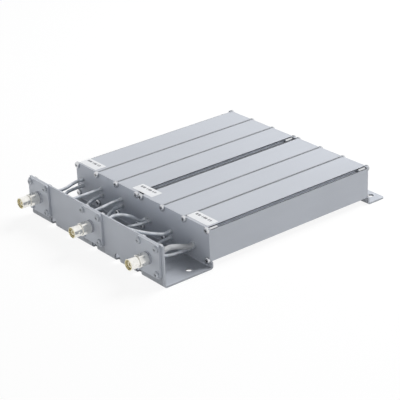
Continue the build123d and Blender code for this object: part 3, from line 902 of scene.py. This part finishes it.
@dataclass
class Harness:
    """The formed leads between the jacks and the cells, with the sleeve on the last one.

    An entry is a hole in the front wall: its cell, its place beside the cell's middle and its height.
    """

    tin: Colour = (0.70, 0.73, 0.77)
    sleeve_grey: Colour = (0.50, 0.51, 0.52)
    collar: Colour = (0.86, 0.88, 0.90)
    lead_radius: float = 0.0015
    sleeve_radius: float = 0.00225
    sleeve_wall: float = 0.0007
    wall_exit: float = 0.0090
    short_exit: float = 0.0066
    hole_run: float = 0.0032
    jack_exit: float = 0.0050
    twin_offset: float = 0.0019
    rings: int = 20
    round_steps: int = 7
    entries: dict[str, tuple[int, float, float]] = field(default_factory=lambda: {
        "1a": (1, -0.0092, 0.0206), "1b": (1, -0.0092, 0.0148),
        "2a": (2, -0.0086, 0.0214), "2b": (2, -0.0078, 0.0152),
        "3a": (3, -0.0083, 0.0212), "3b": (3, -0.0075, 0.0153),
        "4a": (4, -0.0098, 0.0143), "4b": (4, -0.0048, 0.0144),
        "5a": (5, -0.0042, 0.0153), "5b": (5, -0.0046, 0.0092),
        "6a": (6, -0.0089, 0.0079), "6b": (6, -0.0034, 0.0141)})
    inside: float = field(init=False)
    wall: float = field(init=False)
    jack_back: float = field(init=False)
    jack_end: float = field(init=False)

    def __post_init__(self) -> None:
        """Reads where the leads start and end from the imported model."""
        self.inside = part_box("lead_cell_1_to_cell_2")[1].y
        self.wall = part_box("lead_ferrules")[1].y
        self.jack_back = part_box("jack_shell_left")[1].y
        self.jack_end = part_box("lead_jack_left_to_cell_1")[0].y

    def at_wall(self, entry: str, reach: float | None = None) -> list[Point]:
        """Gives the straight end of a lead at the front wall.

        Args:
            entry: Which hole it comes out of.
            reach: How far it runs straight, if not the usual way.

        Returns:
            Three points in line, from inside the cell outwards.
        """
        cell, offset, z = self.entries[entry]
        x = middle_of(f"resonator_{cell}").x + offset
        steps = (self.inside, self.wall - self.hole_run, self.wall - (reach or self.wall_exit))
        return [(x, y, z) for y in steps]

    def at_jack(self, side: str, offset: float = 0.0) -> list[Point]:
        """Gives the straight end of a lead at a jack's back.

        Args:
            side: Which jack it goes to.
            offset: How far it lies beside the jack's axis.

        Returns:
            Three points in line, from behind the jack into its back.
        """
        axis = middle_of(f"jack_contact_{side}")
        steps = (self.jack_back + self.jack_exit, self.jack_back + self.jack_exit / 4, self.jack_end)
        return [(axis.x + offset, y, axis.z) for y in steps]

    def loop(self, first: str, last: str, *middle: Point) -> list[Point]:
        """Gives a lead's route from one cell round to the next.

        Args:
            first: The hole that it starts from.
            last: The hole that it ends in.
            middle: The points between its straight ends.

        Returns:
            All its points in order.
        """
        return [*self.at_wall(first), *middle, *reversed(self.at_wall(last))]

    def routes(self) -> dict[str, list[Point]]:
        """Gives each lead's route, with the points between its straight ends given one by one."""
        return {
            "lead_jack_left_to_cell_1": [
                *self.at_wall("1a"), (-0.0808, -0.1085, 0.0190), *self.at_jack("left")],
            "lead_cell_1_to_cell_2": self.loop(
                "1b", "2a",
                (-0.0800, -0.1090, 0.0160), (-0.0695, -0.1180, 0.0130), (-0.0580, -0.1095, 0.0196)),
            "lead_cell_2_to_cell_3": self.loop(
                "2b", "3a",
                (-0.0505, -0.1070, 0.0135), (-0.0390, -0.1180, 0.0115), (-0.0275, -0.1110, 0.0187)),
            "lead_cell_3_to_jack_middle": [
                *self.at_wall("3b"), (-0.0150, -0.1105, 0.0165), *self.at_jack("middle", -self.twin_offset)],
            "lead_jack_middle_to_cell_4": [
                *self.at_wall("4a", self.short_exit), (0.0062, -0.1025, 0.0222), (0.0020, -0.1155, 0.0256),
                *self.at_jack("middle", self.twin_offset)],
            "lead_cell_4_to_cell_5": self.loop(
                "4b", "5a",
                (0.0105, -0.1085, 0.0148), (0.0165, -0.1160, 0.0185), (0.0320, -0.1060, 0.0162)),
            "lead_cell_5_to_cell_6": self.loop(
                "5b", "6a",
                (0.0440, -0.1100, 0.0080), (0.0540, -0.1170, 0.0076), (0.0635, -0.1090, 0.0078)),
            "lead_cell_6_to_jack_right": [
                *self.at_wall("6b", self.short_exit), (0.0725, -0.1120, 0.0210), *self.at_jack("right")],
        }

    def finish(self, shop: Workshop) -> None:
        """Builds the leads and the sleeve and dresses the collars."""
        braid = SoakedBraid("tin_soaked_braid", self.tin, roughness=0.38).build(shop)
        routes = self.routes()
        for node, points in routes.items():
            mesh = self.tube(f"formed_{node}", points, self.lead_radius)
            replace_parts(add_piece(f"formed_{node}", mesh, braid), node)
        self.add_sleeve(routes["lead_cell_6_to_jack_right"], shop)
        collars = Metal("tinned_collar", self.collar, roughness=0.30, fineness=2500.0, shade_share=0.10)
        dress(["lead_ferrules", "sleeve_ring"], collars.build(shop))

    def add_sleeve(self, points: list[Point], shop: Workshop) -> None:
        """Adds the sleeve over the last lead, from the wall's face to the jack's back.

        Args:
            points: The lead's route.
            shop: The shared effects.
        """
        start, end = points[0], points[-1]
        middle = [point for point in points[1:-1] if point[1] > self.jack_back + self.jack_exit / 2]
        route = [(start[0], self.wall, start[2]), *middle, (end[0], self.jack_back, end[2])]
        mesh = self.tube("shrunk_sleeve", route, self.sleeve_radius, closed=False)
        finish = Plastic("grey_sleeve", self.sleeve_grey, roughness=0.46, grain_scale=500.0)
        sleeve = add_piece("shrunk_sleeve", mesh, finish.build(shop))
        wall = sleeve.modifiers.new("wall", "SOLIDIFY")
        wall.thickness = self.sleeve_wall
        wall.offset = -1.0
        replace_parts(sleeve, "lead_sleeve")

    def tube(self, name: str, points: list[Point], radius: float, closed: bool = True) -> bpy.types.Mesh:
        """Makes a smooth tube along a route.

        Args:
            name: The name of the mesh.
            points: The control points of the route's spline.
            radius: The tube's radius.
            closed: Whether its two ends are closed.

        Returns:
            The mesh, whose map runs round the tube and along it in metres.
        """
        curve = bpy.data.curves.new(name, "CURVE")
        curve.dimensions = "3D"
        spline = curve.splines.new("NURBS")
        spline.points.add(len(points) - 1)
        for control, point in zip(spline.points, points):
            control.co = (*point, 1.0)
        spline.order_u = 3
        spline.use_endpoint_u = True
        spline.resolution_u = self.rings
        length = spline.calc_length()
        curve.bevel_depth = radius
        curve.bevel_resolution = self.round_steps
        curve.use_fill_caps = closed
        holder = bpy.data.objects.new(name, curve)
        bpy.context.scene.collection.objects.link(holder)
        bpy.context.view_layer.update()
        mesh = bpy.data.meshes.new_from_object(holder)
        bpy.data.objects.remove(holder)
        for corner in mesh.uv_layers[0].data:
            corner.uv.y *= length
        for polygon in mesh.polygons:
            polygon.use_smooth = len(polygon.vertices) == 4
        return mesh


@dataclass
class Studio:
    """The camera, the pale floor and the plain soft lights."""

    camera_place: Point = (0.8861, -0.7269, 0.5362)
    azimuth: float = 51.51
    elevation: float = 24.99
    roll: float = -2.01
    focal_pixels: float = 1433.19
    image_width: float = 400.0
    sensor: float = 36.0
    clip: tuple[float, float] = (0.01, 50.0)
    light_tint: Colour = (0.97, 0.985, 1.0)
    front_fill: float = 2.15
    back_fill: float = 0.85
    upper_share: float = 0.04
    horizon_height: float = 0.16
    upper_height: float = 0.40
    floor_radius: float = 6.0
    floor_sides: int = 96
    floor_bounce: float = 0.62
    floor_glow: float = 0.90
    floor_gain: float = 1.15
    speckle_scale: float = 60.0
    speckle_dip: float = 0.99
    key_place: Point = (0.12, 0.85, 1.10)
    key_power: float = 20.5
    key_size: float = 0.90

    def set_up(self) -> None:
        """Builds all of the studio."""
        self.add_camera()
        self.light_world()
        self.lay_floor()
        self.hang_key()
        bpy.context.scene.view_settings.view_transform = "Standard"

    def add_camera(self) -> None:
        """Adds the camera at the photograph's place."""
        angles = (self.azimuth, self.elevation, self.roll)
        azimuth, elevation, roll = (math.radians(angle) for angle in angles)
        back = Vector((math.sin(azimuth) * math.cos(elevation), -math.cos(azimuth) * math.cos(elevation),
                       math.sin(elevation)))
        level = Vector((math.cos(azimuth), math.sin(azimuth), 0.0))
        up = back.cross(level)
        right = math.cos(roll) * level + math.sin(roll) * up
        head = back.cross(right)
        data = bpy.data.cameras.new("camera")
        data.sensor_fit = "HORIZONTAL"
        data.sensor_width = self.sensor
        data.lens = self.focal_pixels / self.image_width * self.sensor
        data.clip_start, data.clip_end = self.clip
        camera = bpy.data.objects.new("camera", data)
        turn = Matrix((right, head, back)).transposed().to_4x4()
        camera.matrix_world = Matrix.Translation(self.camera_place) @ turn
        bpy.context.scene.collection.objects.link(camera)
        bpy.context.scene.camera = camera

    def seen_rays(self, bench: NodeBench) -> bpy.types.NodeSocket:
        """Finds the rays that show the background: camera, glossy and transmission."""
        rays = bench.add("ShaderNodeLightPath").outputs
        glossy = bench.math("MAXIMUM", rays["Is Camera Ray"], rays["Is Glossy Ray"])
        return bench.math("MAXIMUM", glossy, rays["Is Transmission Ray"])

    def light_world(self) -> None:
        """Makes the world white to the eye, and as a light a ring round the horizon, brighter in front."""
        world = bpy.data.worlds.new("studio")
        world.use_nodes = True
        world.node_tree.nodes.clear()
        bench = NodeBench(world.node_tree)
        _, back, height = bench.split(bench.add("ShaderNodeTexCoord").outputs["Generated"])
        ring = bench.spread(height, self.horizon_height, self.upper_height, 1.0, self.upper_share)
        strength = bench.product(ring, bench.spread(back, -1.0, 1.0, self.front_fill, self.back_fill))
        light = bench.add("ShaderNodeBackground", {"Color": rgba(self.light_tint), "Strength": strength})
        shown = bench.add("ShaderNodeBackground", {"Color": rgba(WHITE), "Strength": 1.0})
        parts = {0: self.seen_rays(bench), 1: light.outputs[0], 2: shown.outputs[0]}
        mixed = bench.add("ShaderNodeMixShader", parts)
        bench.add("ShaderNodeOutputWorld", {"Surface": mixed.outputs[0]})
        bpy.context.scene.world = world

    def lay_floor(self) -> None:
        """Lays a pale floor that looks white and keeps the object's shadow."""
        build = bmesh.new()
        bmesh.ops.create_circle(build, cap_ends=True, segments=self.floor_sides, radius=self.floor_radius)
        mesh = bpy.data.meshes.new("floor")
        build.to_mesh(mesh)
        build.free()
        material, bench, output = new_material("pale_floor")
        speckle = bench.vary(bench.noise(bench.place(), self.speckle_scale, FINE_DETAIL), 0.0, 1.0)
        pale = (self.floor_bounce,) * 3
        tone = bench.blend(speckle, rgba(pale, self.speckle_dip), rgba(pale))
        bounce = bench.add("ShaderNodeBsdfDiffuse", {"Color": tone})
        lit_tone = rgba(WHITE, (1.0 - self.floor_glow) * self.floor_gain)
        lit = bench.add("ShaderNodeBsdfDiffuse", {"Color": lit_tone})
        glow = bench.add("ShaderNodeEmission", {"Color": rgba(WHITE), "Strength": self.floor_glow})
        shown = bench.add("ShaderNodeAddShader", {0: lit.outputs[0], 1: glow.outputs[0]})
        parts = {0: self.seen_rays(bench), 1: bounce.outputs[0], 2: shown.outputs[0]}
        mixed = bench.add("ShaderNodeMixShader", parts)
        bench.tree.links.new(mixed.outputs[0], output.inputs["Surface"])
        mesh.materials.append(material)
        floor = bpy.data.objects.new("floor", mesh)
        bpy.context.scene.collection.objects.link(floor)

    def hang_key(self) -> None:
        """Hangs the soft key light high up behind the object."""
        data = bpy.data.lights.new("key", "AREA")
        data.shape = "DISK"
        data.size = self.key_size
        data.energy = self.key_power
        lamp = bpy.data.objects.new("key", data)
        lamp.visible_glossy = False
        turn = Vector(self.key_place).to_track_quat("Z", "Y").to_matrix().to_4x4()
        lamp.matrix_world = Matrix.Translation(self.key_place) @ turn
        bpy.context.scene.collection.objects.link(lamp)


def main() -> None:
    """Builds the studio and every sub-assembly in order."""
    logging.basicConfig(level=logging.INFO, format="%(name)s %(message)s")
    Studio().set_up()
    shop = Workshop()
    for assembly in (Cabinet(), Fixings(), JackRow(), CellWorks(), Harness()):
        assembly.finish(shop)
        LOG.info("%s is finished", type(assembly).__name__)


if __name__ == "__main__":
    main()
